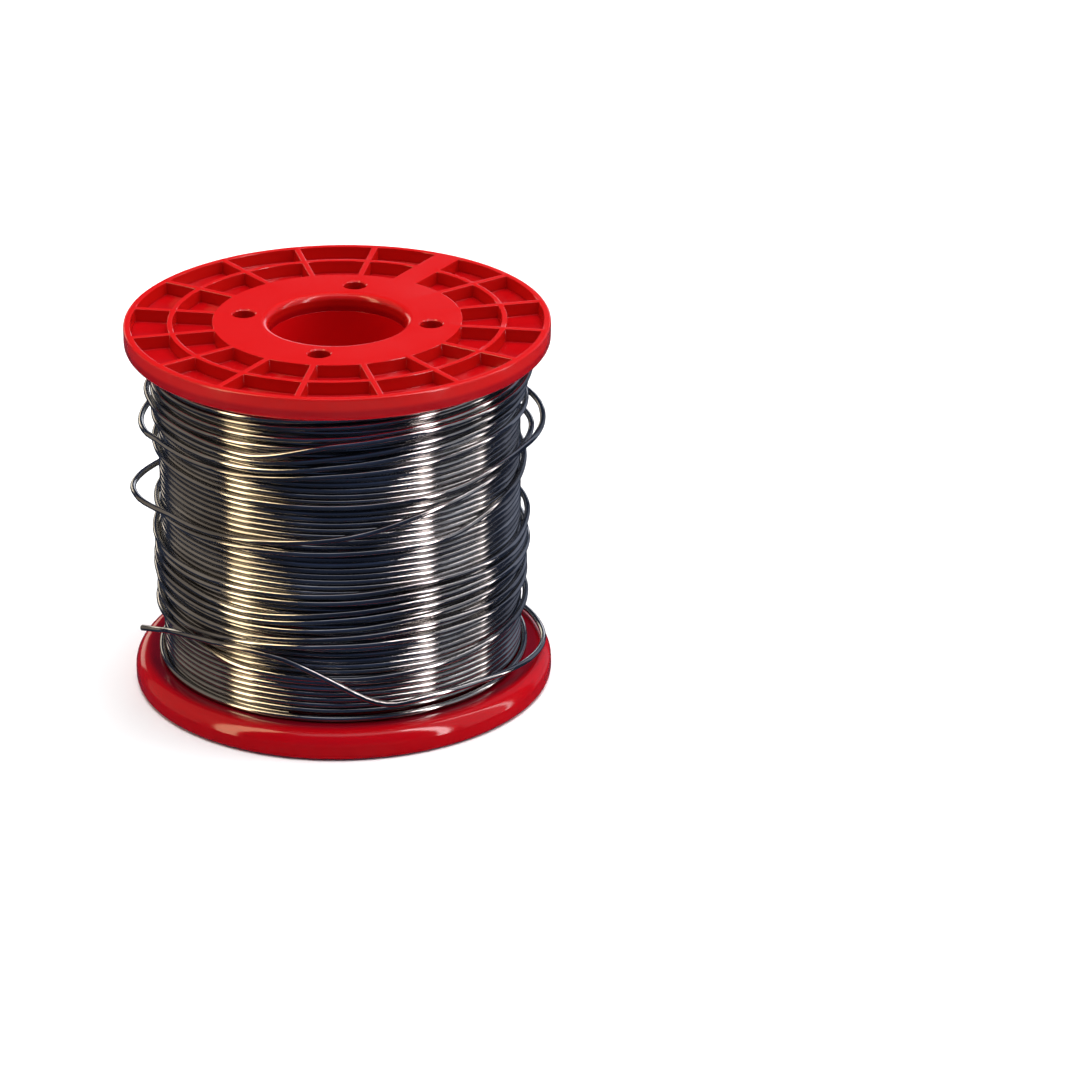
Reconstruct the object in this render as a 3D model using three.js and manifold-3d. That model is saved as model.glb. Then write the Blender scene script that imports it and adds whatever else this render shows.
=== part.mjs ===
// Solder wire spool: a moulded two-flange reel wound with 1 mm solder wire.
//
// Millimetres, +Z up along the reel's axis, origin at the centre of the face that the reel stands on.
// Directions round the axis are angles in degrees from the front (-Y) towards the right (+X).

import * as THREE from 'three';
import { mergeVertices } from 'three/addons/utils/BufferGeometryUtils.js';
import Module from 'manifold-3d';

const wasm = await Module();
wasm.setup();

// Reel
const FLANGE_RADIUS = 35;
const REEL_HEIGHT = 63.5;
const UPPER_THICKNESS = 4;
const LOWER_THICKNESS = 5;
const BORE_RADIUS = 11.3;
const FIT_GAP = 0.3; // between pieces that touch
const SEAT_DEPTH = 1; // the grooves that locate the barrel and the sleeve

// Upper flange: ribs and shallow pockets round a hub plate
const POCKET_DEPTH = 2.2;
const HUB_PLATE_RADIUS = 20.5;
const RING_RIB_INNER = 26.95;
const RING_RIB_OUTER = 27.85;
const RIM_INNER = 33.85;
const RIB_COUNT = 16;
const RIB_WIDTH = 1;
const WIDE_RIB_WIDTH = 4.6;
const WIDE_RIB_INDEX = 6;
const BORE_LIP = 1.2;
const EDGE_CHAMFER = 0.4;
const UNDER_EDGE_ROUND = 1.2;

// Drive holes
const DRIVE_PITCH_RADIUS = 15.6;
const UPPER_DRIVE_RADIUS = 1.85;
const UPPER_DRIVE_START = -11.25;
const LOWER_DRIVE_RADIUS = 1.7;
const LOWER_DRIVE_ANGLES = [90, 270];

// Lower flange: dished outside, with a rolled rim to stand on
const DISH_RADIUS = 31.2;
const DISH_DEPTH = 2.4;
const REST_INNER = 32.3;
const REST_OUTER = 34;
const RIM_ROUND = 2.6;
const BOSS_SIZE = 7;
const BOSS_HEIGHT = 1.2;

// Barrel, its two snap hooks and the sleeve that lines the bore
const BARREL_RADIUS = 20;
const BARREL_WALL = 1.6;
const HOOK_ANGLES = [125, 235];
const HOOK_HALF_ANGLE = 8.2;
const HOOK_BARB_REACH = 1;
const HOOK_BARB_LOW = 1.2;
const HOOK_BARB_HIGH = 2.1;
const WINDOW_HALF_ANGLE = 9.6;
const WIRE_START_RADIUS = 1.2;
const SLEEVE_WALL = 1.6;
const WEB_COUNT = 8;
const WEB_START = 11.25;
const WEB_THICKNESS = 1.2;

// Wire and winding
const WIRE_RADIUS = 0.5;
const WINDING_RADIUS = 30;
const WINDING_SHOULDER = 0.6;
const WIRE_SIDES = 8;
const WIRE_STEP = 3; // mm along the wire

const ROUND_SEGMENTS = 72;
const HOLE_SEGMENTS = 16;
const ARC_SEGMENTS = 6;

const upperInner = REEL_HEIGHT - UPPER_THICKNESS; // height of the upper flange's inner face
const barrelBore = BARREL_RADIUS - BARREL_WALL;
const sleeveRadius = BORE_RADIUS + SLEEVE_WALL;
const radians = THREE.MathUtils.degToRad;

// Where each loose stretch of wire runs: [degrees, distance out from the winding, height]
const LOOSE_TURN_UPPER_LEFT = [
  [-58, 0.8, 46.9], [-70, 1.1, 46.7], [-80, 2.3, 46.5], [-90, 2.7, 46.4],
  [-100, 2.6, 46.3], [-112, 2.1, 46.4], [-125, 1.3, 46.7], [-138, 0.8, 47],
];
const LOOSE_TURN_MID_LEFT = [
  [-50, 0.8, 35.3], [-62, 1.1, 35.2], [-71, 2.5, 35.1], [-79, 3.9, 35.1], [-88, 4.4, 34.9],
  [-97, 3.6, 34.7], [-107, 2.3, 34.4], [-117, 1.3, 34.1], [-130, 0.8, 33.9],
];
const LOOSE_TURN_UPPER_RIGHT = [
  [140, 0.8, 46.6], [125, 2.2, 46.1], [110, 3.5, 45.8], [98, 3.8, 45.7], [88, 3.6, 45.3],
  [78, 2.8, 44.9], [67, 1.5, 44.5], [54, 1, 44.3], [40, 0.9, 43.6], [24, 0.8, 43.2],
];
const WIRE_TAIL = [
  [145, 0.8, 6.6], [132, 1.2, 6.2], [116, 2.2, 6], [100, 3.2, 6], [84, 3.7, 6.4], [68, 3.4, 7.2],
  [54, 2.8, 8], [42, 2.4, 8.6], [32, 2.2, 8.7], [24, 2, 8.5], [15, 2, 8.2], [9, 1.9, 8.9],
  [3, 1.8, 10.6], [-4, 1.6, 12.8], [-12, 1.2, 15], [-20, 0.9, 16.5], [-32, 0.8, 17],
  [-45, 0.8, 16.4], [-57, 0.9, 15.2], [-66, 1.2, 13.8], [-72, 2, 12.6], [-77, 3, 11.7],
  [-80, 4, 11.2],
];

function colour(hex, roughness, metalness) {
  return new THREE.MeshStandardMaterial({ color: hex, roughness, metalness });
}

const UPPER_PLASTIC = colour(0xd61f1a, 0.4, 0);
const LOWER_PLASTIC = colour(0xa8101a, 0.35, 0);
const INNER_PLASTIC = colour(0xb5161a, 0.45, 0);
const SOLDER = colour(0x8d8d8c, 0.3, 1);

// A point from its direction round the axis, distance from the axis, and height.
function polar(degrees, radius, z = 0) {
  const a = radians(degrees);
  return new THREE.Vector3(radius * Math.sin(a), -radius * Math.cos(a), z);
}

function toSolid(geometry) {
  const bare = geometry.index ? geometry.toNonIndexed() : geometry.clone();
  bare.deleteAttribute('normal');
  bare.deleteAttribute('uv');
  const merged = mergeVertices(bare, 1e-4);
  const vertProperties = new Float32Array(merged.attributes.position.array);
  const triVerts = new Uint32Array(merged.index.array);
  return new wasm.Manifold(new wasm.Mesh({ numProp: 3, vertProperties, triVerts }));
}

function toGeometry(solid) {
  const mesh = solid.getMesh();
  const geometry = new THREE.BufferGeometry();
  geometry.setAttribute('position', new THREE.Float32BufferAttribute(mesh.vertProperties, 3));
  geometry.setIndex(new THREE.BufferAttribute(new Uint32Array(mesh.triVerts), 1));
  geometry.computeVertexNormals();
  return geometry;
}

// Turns a closed outline of [radius, height] points round the Z axis.
// The outline runs anticlockwise, with radius to the right and height upwards.
function turned(outline, segments = ROUND_SEGMENTS) {
  const points = [...outline, outline[0]].map(([r, z]) => new THREE.Vector2(r, z));
  const geometry = new THREE.LatheGeometry(points, segments);
  return geometry.rotateX(Math.PI / 2);
}

function tube(inner, outer, low, high, segments = ROUND_SEGMENTS) {
  return turned([[inner, low], [outer, low], [outer, high], [inner, high]], segments);
}

// Rounds a corner of an outline, anticlockwise from one direction to another.
function roundedCorner(r, z, radius, from, to, steps = 3) {
  const points = [];
  for (let i = 0; i <= steps; i += 1) {
    const a = radians(from + ((to - from) * i) / steps);
    points.push([r + radius * Math.cos(a), z + radius * Math.sin(a)]);
  }
  return points;
}

// A block between two radii, whose sides lie `inset` inside two directions, parallel to them.
function sector(inner, outer, from, to, insetFrom, insetTo, low, high) {
  const start = (r) => radians(from - 90) + Math.asin(insetFrom / r);
  const end = (r) => radians(to - 90) - Math.asin(insetTo / r);
  const shape = new THREE.Shape();
  shape.absarc(0, 0, outer, start(outer), end(outer), false);
  shape.absarc(0, 0, inner, end(inner), start(inner), true);
  const geometry = new THREE.ExtrudeGeometry(shape, {
    depth: high - low,
    bevelEnabled: false,
    curveSegments: ARC_SEGMENTS,
  });
  return geometry.translate(0, 0, low);
}

function pin(radius, place, low, high) {
  const geometry = new THREE.CylinderGeometry(radius, radius, high - low, HOLE_SEGMENTS);
  return geometry.rotateX(Math.PI / 2).translate(place.x, place.y, (low + high) / 2);
}

// The shallow pockets between the ribs, in two rings either side of the ring rib.
function ribPockets() {
  const floor = REEL_HEIGHT - POCKET_DEPTH;
  const pitch = 360 / RIB_COUNT;
  const halfWidth = (i) => (i % RIB_COUNT === WIDE_RIB_INDEX ? WIDE_RIB_WIDTH : RIB_WIDTH) / 2;
  const rings = [[HUB_PLATE_RADIUS, RING_RIB_INNER], [RING_RIB_OUTER, RIM_INNER]];
  const pockets = [];
  for (let i = 0; i < RIB_COUNT; i += 1) {
    const from = (i + 0.5) * pitch;
    for (const [inner, outer] of rings) {
      const sides = [from, from + pitch, halfWidth(i), halfWidth(i + 1)];
      pockets.push(sector(inner, outer, ...sides, floor, REEL_HEIGHT + 1));
    }
  }
  return pockets;
}

function upperFlange() {
  const seatTop = upperInner + SEAT_DEPTH;
  const lip = roundedCorner(BORE_RADIUS + BORE_LIP, REEL_HEIGHT - BORE_LIP, BORE_LIP, 90, 180);
  const underEdge = [FLANGE_RADIUS - UNDER_EDGE_ROUND, upperInner + UNDER_EDGE_ROUND];
  const outline = [
    [sleeveRadius + FIT_GAP, upperInner],
    [barrelBore - FIT_GAP, upperInner],
    [barrelBore - FIT_GAP, seatTop],
    [BARREL_RADIUS + FIT_GAP, seatTop],
    [BARREL_RADIUS + FIT_GAP, upperInner],
    ...roundedCorner(...underEdge, UNDER_EDGE_ROUND, -90, 0),
    [FLANGE_RADIUS, REEL_HEIGHT - EDGE_CHAMFER],
    [FLANGE_RADIUS - EDGE_CHAMFER, REEL_HEIGHT],
    ...lip,
    [BORE_RADIUS, seatTop],
    [sleeveRadius + FIT_GAP, seatTop],
  ];
  let solid = toSolid(turned(outline));
  for (const pocket of ribPockets()) {
    solid = solid.subtract(toSolid(pocket));
  }
  for (let i = 0; i < 4; i += 1) {
    const place = polar(UPPER_DRIVE_START + i * 90, DRIVE_PITCH_RADIUS);
    const hole = pin(UPPER_DRIVE_RADIUS, place, upperInner - 1, REEL_HEIGHT + 1);
    solid = solid.subtract(toSolid(hole));
  }
  return toGeometry(solid);
}

function lowerFlange() {
  const seatFloor = LOWER_THICKNESS - SEAT_DEPTH;
  const outline = [
    [BORE_RADIUS, DISH_DEPTH],
    [DISH_RADIUS, DISH_DEPTH],
    [DISH_RADIUS + 0.3, 0.7],
    [REST_INNER, 0],
    [REST_OUTER, 0],
    [FLANGE_RADIUS - 0.3, 0.4],
    [FLANGE_RADIUS, 1.1],
    ...roundedCorner(FLANGE_RADIUS - RIM_ROUND, LOWER_THICKNESS - RIM_ROUND, RIM_ROUND, 0, 90, 4),
    [BARREL_RADIUS + FIT_GAP, LOWER_THICKNESS],
    [BARREL_RADIUS + FIT_GAP, seatFloor],
    [barrelBore - FIT_GAP, seatFloor],
    [barrelBore - FIT_GAP, LOWER_THICKNESS],
    [sleeveRadius + FIT_GAP, LOWER_THICKNESS],
    [sleeveRadius + FIT_GAP, seatFloor],
    [BORE_RADIUS, seatFloor],
  ];
  let solid = toSolid(turned(outline));
  for (const angle of LOWER_DRIVE_ANGLES) {
    const place = polar(angle, DRIVE_PITCH_RADIUS);
    const boss = new THREE.BoxGeometry(BOSS_SIZE, BOSS_SIZE, BOSS_HEIGHT + 0.4);
    boss.translate(place.x, place.y, DISH_DEPTH - BOSS_HEIGHT / 2 + 0.2);
    const hole = pin(LOWER_DRIVE_RADIUS, place, -1, LOWER_THICKNESS + 1);
    solid = solid.add(toSolid(boss)).subtract(toSolid(hole));
  }
  for (const angle of HOOK_ANGLES) {
    const [from, to] = [angle - WINDOW_HALF_ANGLE, angle + WINDOW_HALF_ANGLE];
    const reach = [barrelBore - FIT_GAP, BARREL_RADIUS + FIT_GAP];
    const window = sector(...reach, from, to, 0, 0, DISH_DEPTH - 1, seatFloor + 0.5);
    solid = solid.subtract(toSolid(window));
  }
  return toGeometry(solid);
}

// The tube that the wire is wound on. Two hooks at its foot snap through the lower flange.
function windingBarrel() {
  const low = LOWER_THICKNESS - SEAT_DEPTH + FIT_GAP;
  const high = upperInner + SEAT_DEPTH - FIT_GAP;
  let solid = toSolid(tube(barrelBore, BARREL_RADIUS, low, high));
  for (const angle of HOOK_ANGLES) {
    const sides = [angle - HOOK_HALF_ANGLE, angle + HOOK_HALF_ANGLE, 0, 0];
    const stem = sector(barrelBore + 0.1, BARREL_RADIUS - 0.1, ...sides, HOOK_BARB_LOW, low + 2);
    const reach = BARREL_RADIUS + HOOK_BARB_REACH;
    const barb = sector(barrelBore + 0.1, reach, ...sides, HOOK_BARB_LOW, HOOK_BARB_HIGH);
    solid = solid.add(toSolid(stem)).add(toSolid(barb));
  }
  const hole = pin(WIRE_START_RADIUS, new THREE.Vector3(), 0, BARREL_RADIUS + 5);
  hole.rotateX(Math.PI / 2).translate(0, 0, LOWER_THICKNESS + 3);
  return toGeometry(solid.subtract(toSolid(hole)));
}

// The tube that lines the bore, with webs that hold the barrel round.
function boreSleeve() {
  const low = LOWER_THICKNESS - SEAT_DEPTH + FIT_GAP;
  const high = upperInner + SEAT_DEPTH - FIT_GAP;
  let solid = toSolid(tube(BORE_RADIUS, sleeveRadius, low, high));
  const inner = sleeveRadius - 0.4;
  const length = barrelBore - FIT_GAP - inner;
  const webLow = LOWER_THICKNESS + FIT_GAP;
  const webHigh = upperInner - FIT_GAP;
  for (let i = 0; i < WEB_COUNT; i += 1) {
    const angle = WEB_START + (i * 360) / WEB_COUNT;
    const web = new THREE.BoxGeometry(length, WEB_THICKNESS, webHigh - webLow);
    web.translate(inner + length / 2, 0, (webLow + webHigh) / 2);
    web.rotateZ(radians(angle - 90));
    solid = solid.add(toSolid(web));
  }
  return toGeometry(solid);
}

// The outer shape of the tight turns, with softened shoulders against the flanges.
function solderWinding() {
  const low = LOWER_THICKNESS + FIT_GAP;
  const high = upperInner - FIT_GAP;
  return turned([
    [BARREL_RADIUS + FIT_GAP, low],
    [WINDING_RADIUS - WINDING_SHOULDER, low],
    [WINDING_RADIUS, low + 2 * WINDING_SHOULDER],
    [WINDING_RADIUS, high - 3 * WINDING_SHOULDER],
    [WINDING_RADIUS - WINDING_SHOULDER, high],
    [BARREL_RADIUS + FIT_GAP, high],
  ], 64);
}

// A stretch of wire that stands off the winding.
function looseWire(route) {
  const points = route.map(([angle, out, z]) => polar(angle, WINDING_RADIUS + out, z));
  const path = new THREE.CatmullRomCurve3(points);
  const section = new THREE.Shape();
  for (let i = 0; i < WIRE_SIDES; i += 1) {
    const a = (i * 2 * Math.PI) / WIRE_SIDES;
    const corner = [WIRE_RADIUS * Math.cos(a), WIRE_RADIUS * Math.sin(a)];
    if (i === 0) section.moveTo(...corner);
    else section.lineTo(...corner);
  }
  section.closePath();
  const steps = Math.round(path.getLength() / WIRE_STEP);
  return new THREE.ExtrudeGeometry(section, { steps, extrudePath: path, bevelEnabled: false });
}

function named(name, geometry, material) {
  const mesh = new THREE.Mesh(geometry, material);
  mesh.name = name;
  return mesh;
}

const spool = new THREE.Group();
spool.name = 'solder_wire_spool';
spool.add(
  named('upper_flange', upperFlange(), UPPER_PLASTIC),
  named('lower_flange', lowerFlange(), LOWER_PLASTIC),
  named('winding_barrel', windingBarrel(), INNER_PLASTIC),
  named('bore_sleeve', boreSleeve(), INNER_PLASTIC),
  named('solder_winding', solderWinding(), SOLDER),
  named('loose_turn_upper_left', looseWire(LOOSE_TURN_UPPER_LEFT), SOLDER),
  named('loose_turn_mid_left', looseWire(LOOSE_TURN_MID_LEFT), SOLDER),
  named('loose_turn_upper_right', looseWire(LOOSE_TURN_UPPER_RIGHT), SOLDER),
  named('wire_tail', looseWire(WIRE_TAIL), SOLDER),
);

export default spool;
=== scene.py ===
"""The looks of a solder wire spool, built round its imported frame.

The reel is four red mouldings: a ribbed upper flange, a dished lower flange, the barrel that the wire is
wound on and the webbed sleeve that lines the bore. One length of solder wire fills it: tight turns below, and
loose turns over them that cross, stand off at the sides and end in a cut tail. Sizes are in millimetres until
they reach a mesh, which is in metres. Directions round the axis are degrees from the front (-Y) towards +X.
"""

import logging
import math
from collections.abc import Callable, Sequence
from dataclasses import dataclass, field
from enum import Enum

import bpy
from mathutils import Matrix, Vector


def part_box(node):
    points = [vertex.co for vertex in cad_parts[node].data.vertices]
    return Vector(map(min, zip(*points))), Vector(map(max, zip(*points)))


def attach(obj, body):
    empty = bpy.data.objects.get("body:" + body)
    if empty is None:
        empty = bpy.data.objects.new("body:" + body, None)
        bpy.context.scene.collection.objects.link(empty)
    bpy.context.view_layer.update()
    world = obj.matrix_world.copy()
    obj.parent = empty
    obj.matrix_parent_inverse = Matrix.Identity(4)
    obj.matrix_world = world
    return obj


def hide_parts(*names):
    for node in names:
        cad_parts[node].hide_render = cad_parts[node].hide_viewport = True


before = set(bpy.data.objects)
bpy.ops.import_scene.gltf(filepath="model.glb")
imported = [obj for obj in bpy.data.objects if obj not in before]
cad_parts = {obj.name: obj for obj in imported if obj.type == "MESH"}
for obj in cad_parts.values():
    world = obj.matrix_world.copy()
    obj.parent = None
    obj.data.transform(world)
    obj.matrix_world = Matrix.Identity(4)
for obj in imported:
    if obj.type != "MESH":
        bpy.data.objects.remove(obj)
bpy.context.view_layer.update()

LOG = logging.getLogger("solder_wire_spool")
MM = 0.001
BODY = "root"
MERGE_DISTANCE = 1e-6
WIRE_MERGE_DISTANCE = 1e-7
NEAR_AXIS = 0.001
TOUCH = 0.01
NOISE_LOW = 0.3
NOISE_HIGH = 0.7
Pair = tuple[float, float]
Outline = list[Pair]
Route = tuple[tuple[float, float, float], ...]
Socket = bpy.types.NodeSocket


class Slot(Enum):
    """The record's material slots."""

    BRIGHT_RED = "bright_red_plastic"
    DEEP_RED = "deep_red_plastic"
    INNER_RED = "inner_red_plastic"
    SOLDER = "solder"


# ---------------------------------------------------------------- geometry helpers


def polar(degrees: float, radius: float, height: float = 0.0) -> Vector:
    """Place a point by its direction, its distance from the axis and its height.

    Args:
        degrees: direction round the axis, from the front towards +X.
        radius: distance from the axis, in millimetres.
        height: height, in millimetres.

    Returns:
        The point, in metres.
    """
    angle = math.radians(degrees)
    return Vector((radius * math.sin(angle), -radius * math.cos(angle), height)) * MM


def direction_of(point: Vector) -> float:
    """Give a point's direction round the axis, in degrees from the front."""
    return math.degrees(math.atan2(point.x, -point.y))


def deselect() -> None:
    """Leave object mode and deselect everything."""
    if bpy.context.object and bpy.context.object.mode != "OBJECT":
        bpy.ops.object.mode_set(mode="OBJECT")
    bpy.ops.object.select_all(action="DESELECT")


def activate(piece: bpy.types.Object) -> None:
    """Select one object alone and make it active."""
    deselect()
    piece.select_set(True)
    bpy.context.view_layer.objects.active = piece


def arc(centre: Pair, radius: float, start: float, end: float, steps: int = 4) -> Outline:
    """Round a corner of an outline.

    Args:
        centre: the arc's centre, as radius and height.
        radius: the arc's radius.
        start: first angle, in degrees from outwards.
        end: last angle.
        steps: straight pieces in the arc.

    Returns:
        The arc's points.
    """
    angles = [math.radians(start + (end - start) * i / steps) for i in range(steps + 1)]
    return [(centre[0] + radius * math.cos(a), centre[1] + radius * math.sin(a)) for a in angles]


def lathe(name: str, outline: Outline, steps: int) -> bpy.types.Object:
    """Spin a closed outline round the Z axis.

    Args:
        name: the new object's name.
        outline: radius and height of each corner, in millimetres.
        steps: segments round the axis.

    Returns:
        The closed mesh object.
    """
    deselect()
    bpy.ops.mesh.primitive_circle_add(vertices=len(outline), radius=MM, fill_type="NOTHING")
    piece = bpy.context.object
    piece.name = name
    piece.data.name = name
    for vertex, (radius, height) in zip(piece.data.vertices, outline):
        vertex.co = (radius * MM, 0.0, height * MM)
    bpy.ops.object.mode_set(mode="EDIT")
    bpy.ops.mesh.select_all(action="SELECT")
    bpy.ops.mesh.spin(steps=steps, angle=2 * math.pi, center=(0, 0, 0), axis=(0, 0, 1))
    bpy.ops.mesh.select_all(action="SELECT")
    bpy.ops.mesh.remove_doubles(threshold=MERGE_DISTANCE)
    bpy.ops.mesh.normals_make_consistent(inside=False)
    bpy.ops.object.mode_set(mode="OBJECT")
    return piece


def block(
    name: str, low: Sequence[float], high: Sequence[float], bevel: float, turn: float
) -> bpy.types.Object:
    """Make a box with rounded edges, turned round the Z axis.

    Args:
        name: the new object's name.
        low: lowest corner before turning, in millimetres.
        high: highest corner before turning, in millimetres.
        bevel: width of the edge rounding, in millimetres.
        turn: direction that the box's +X comes to face, in degrees from the front.

    Returns:
        The box, with its place in its mesh.
    """
    deselect()
    centre = [(a + b) / 2 * MM for a, b in zip(low, high)]
    bpy.ops.mesh.primitive_cube_add(size=1.0, location=centre)
    piece = bpy.context.object
    piece.name = name
    piece.scale = [(b - a) * MM for a, b in zip(low, high)]
    bpy.ops.object.transform_apply(location=True, rotation=True, scale=True)
    bpy.ops.object.mode_set(mode="EDIT")
    bpy.ops.mesh.select_all(action="SELECT")
    bpy.ops.mesh.bevel(offset=bevel * MM, segments=2, affect="EDGES")
    bpy.ops.object.mode_set(mode="OBJECT")
    piece.data.transform(Matrix.Rotation(math.radians(turn - 90), 4, "Z"))
    return piece


def select_faces(piece: bpy.types.Object, wanted: Callable[[bpy.types.MeshPolygon], bool]) -> int:
    """Select the faces that pass a test, and open edit mode on them.

    Args:
        piece: the mesh object.
        wanted: says whether a face is selected.

    Returns:
        How many faces are selected.
    """
    activate(piece)
    bpy.ops.object.mode_set(mode="EDIT")
    bpy.ops.mesh.select_mode(type="FACE")
    bpy.ops.mesh.select_all(action="DESELECT")
    bpy.ops.object.mode_set(mode="OBJECT")
    for face in piece.data.polygons:
        face.select = wanted(face)
    count = sum(face.select for face in piece.data.polygons)
    bpy.ops.object.mode_set(mode="EDIT")
    return count


def apply_modifier(piece: bpy.types.Object, kind: str, **settings: object) -> None:
    """Add a modifier with its settings and apply it.

    Args:
        piece: the object to shape.
        kind: the modifier's type.
        **settings: values of the modifier's own settings.
    """
    activate(piece)
    modifier = piece.modifiers.new(kind.title(), kind)
    for key, value in settings.items():
        setattr(modifier, key, value)
    bpy.ops.object.modifier_apply(modifier=modifier.name)


def combine(piece: bpy.types.Object, tool: bpy.types.Object, operation: str) -> None:
    """Join a tool to a piece or cut it away, and remove the tool.

    Args:
        piece: the object to change.
        tool: the other solid.
        operation: UNION or DIFFERENCE.
    """
    apply_modifier(piece, "BOOLEAN", object=tool, operation=operation, solver="EXACT")
    bpy.data.objects.remove(tool, do_unlink=True)


def smooth(piece: bpy.types.Object, degrees: float = 40.0) -> None:
    """Shade a moulding smoothly, with its flat faces kept flat.

    Args:
        piece: the object to shade.
        degrees: an edge sharper than this stays sharp.
    """
    activate(piece)
    bpy.ops.object.shade_smooth_by_angle(angle=math.radians(degrees))
    apply_modifier(piece, "WEIGHTED_NORMAL", keep_sharp=True, weight=80)


def finish_piece(
    piece: bpy.types.Object,
    material: bpy.types.Material,
    stands_for: Sequence[str] = (),
) -> None:
    """Dress a piece, tie it to the reel's body and report it.

    Args:
        piece: the finished object.
        material: its material.
        stands_for: the CAD nodes that it replaces.
    """
    piece.data.materials.clear()
    piece.data.materials.append(material)
    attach(piece, BODY)
    if stands_for:
        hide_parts(*stands_for)
    stood_for = ", ".join(stands_for) or "itself"
    LOG.info("%s: %d faces, for %s", piece.name, len(piece.data.polygons), stood_for)


# ---------------------------------------------------------------- materials


def srgb(code: str) -> tuple[float, float, float, float]:
    """Turn an sRGB hex colour into linear red, green, blue and alpha.

    Args:
        code: six hex digits.

    Returns:
        The linear colour, opaque.
    """
    parts = [int(code[i : i + 2], 16) / 255 for i in (0, 2, 4)]
    linear = [c / 12.92 if c <= 0.04045 else ((c + 0.055) / 1.055) ** 2.4 for c in parts]
    return (linear[0], linear[1], linear[2], 1.0)


def per_mm(size: float) -> float:
    """Give the noise scale whose features are about `size` millimetres wide."""
    return 1.0 / (size * MM)


def add_node(
    tree: bpy.types.NodeTree,
    kind: str,
    settings: dict[str | int, object] | None = None,
    links: dict[str | int, Socket] | None = None,
) -> bpy.types.Node:
    """Add a node with its settings and links.

    Args:
        tree: the tree that it joins.
        kind: the node's type, without its ShaderNode prefix.
        settings: values of the node's properties (lower case) and inputs (by name or number).
        links: output sockets that feed its inputs.

    Returns:
        The new node.
    """
    node = tree.nodes.new("ShaderNode" + kind)
    for key, value in (settings or {}).items():
        if isinstance(key, str) and key.islower():
            setattr(node, key, value)
        else:
            node.inputs[key].default_value = value
    for key, source in (links or {}).items():
        tree.links.new(source, node.inputs[key])
    return node


def new_material(name: str) -> tuple[bpy.types.Material, bpy.types.NodeTree]:
    """Make an empty material.

    Args:
        name: what it is made of and how.

    Returns:
        The material and its cleared node tree.
    """
    material = bpy.data.materials.new(name)
    material.use_nodes = True
    material.node_tree.nodes.clear()
    return material, material.node_tree


def ramp(
    tree: bpy.types.NodeTree,
    source: Socket,
    low: float,
    high: float,
    colours: tuple[tuple[float, ...], tuple[float, ...]],
) -> Socket:
    """Blend two colours by a value.

    Args:
        tree: the material's tree.
        source: the value.
        low: the value that gives the first colour.
        high: the value that gives the second.
        colours: the two linear colours.

    Returns:
        The blended colour's socket.
    """
    node = add_node(tree, "ValToRGB", links={"Fac": source})
    for element, place, colour in zip(node.color_ramp.elements, (low, high), colours):
        element.position = place
        element.color = colour
    return node.outputs["Color"]


def spread(tree: bpy.types.NodeTree, source: Socket, low: float, high: float) -> Socket:
    """Map a noise value on to a range.

    Args:
        tree: the material's tree.
        source: a value from 0 to 1.
        low: what NOISE_LOW becomes.
        high: what NOISE_HIGH becomes.

    Returns:
        The mapped value's socket.
    """
    settings = {"From Min": NOISE_LOW, "From Max": NOISE_HIGH, "To Min": low, "To Max": high}
    return add_node(tree, "MapRange", settings, {"Value": source}).outputs["Result"]


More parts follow.
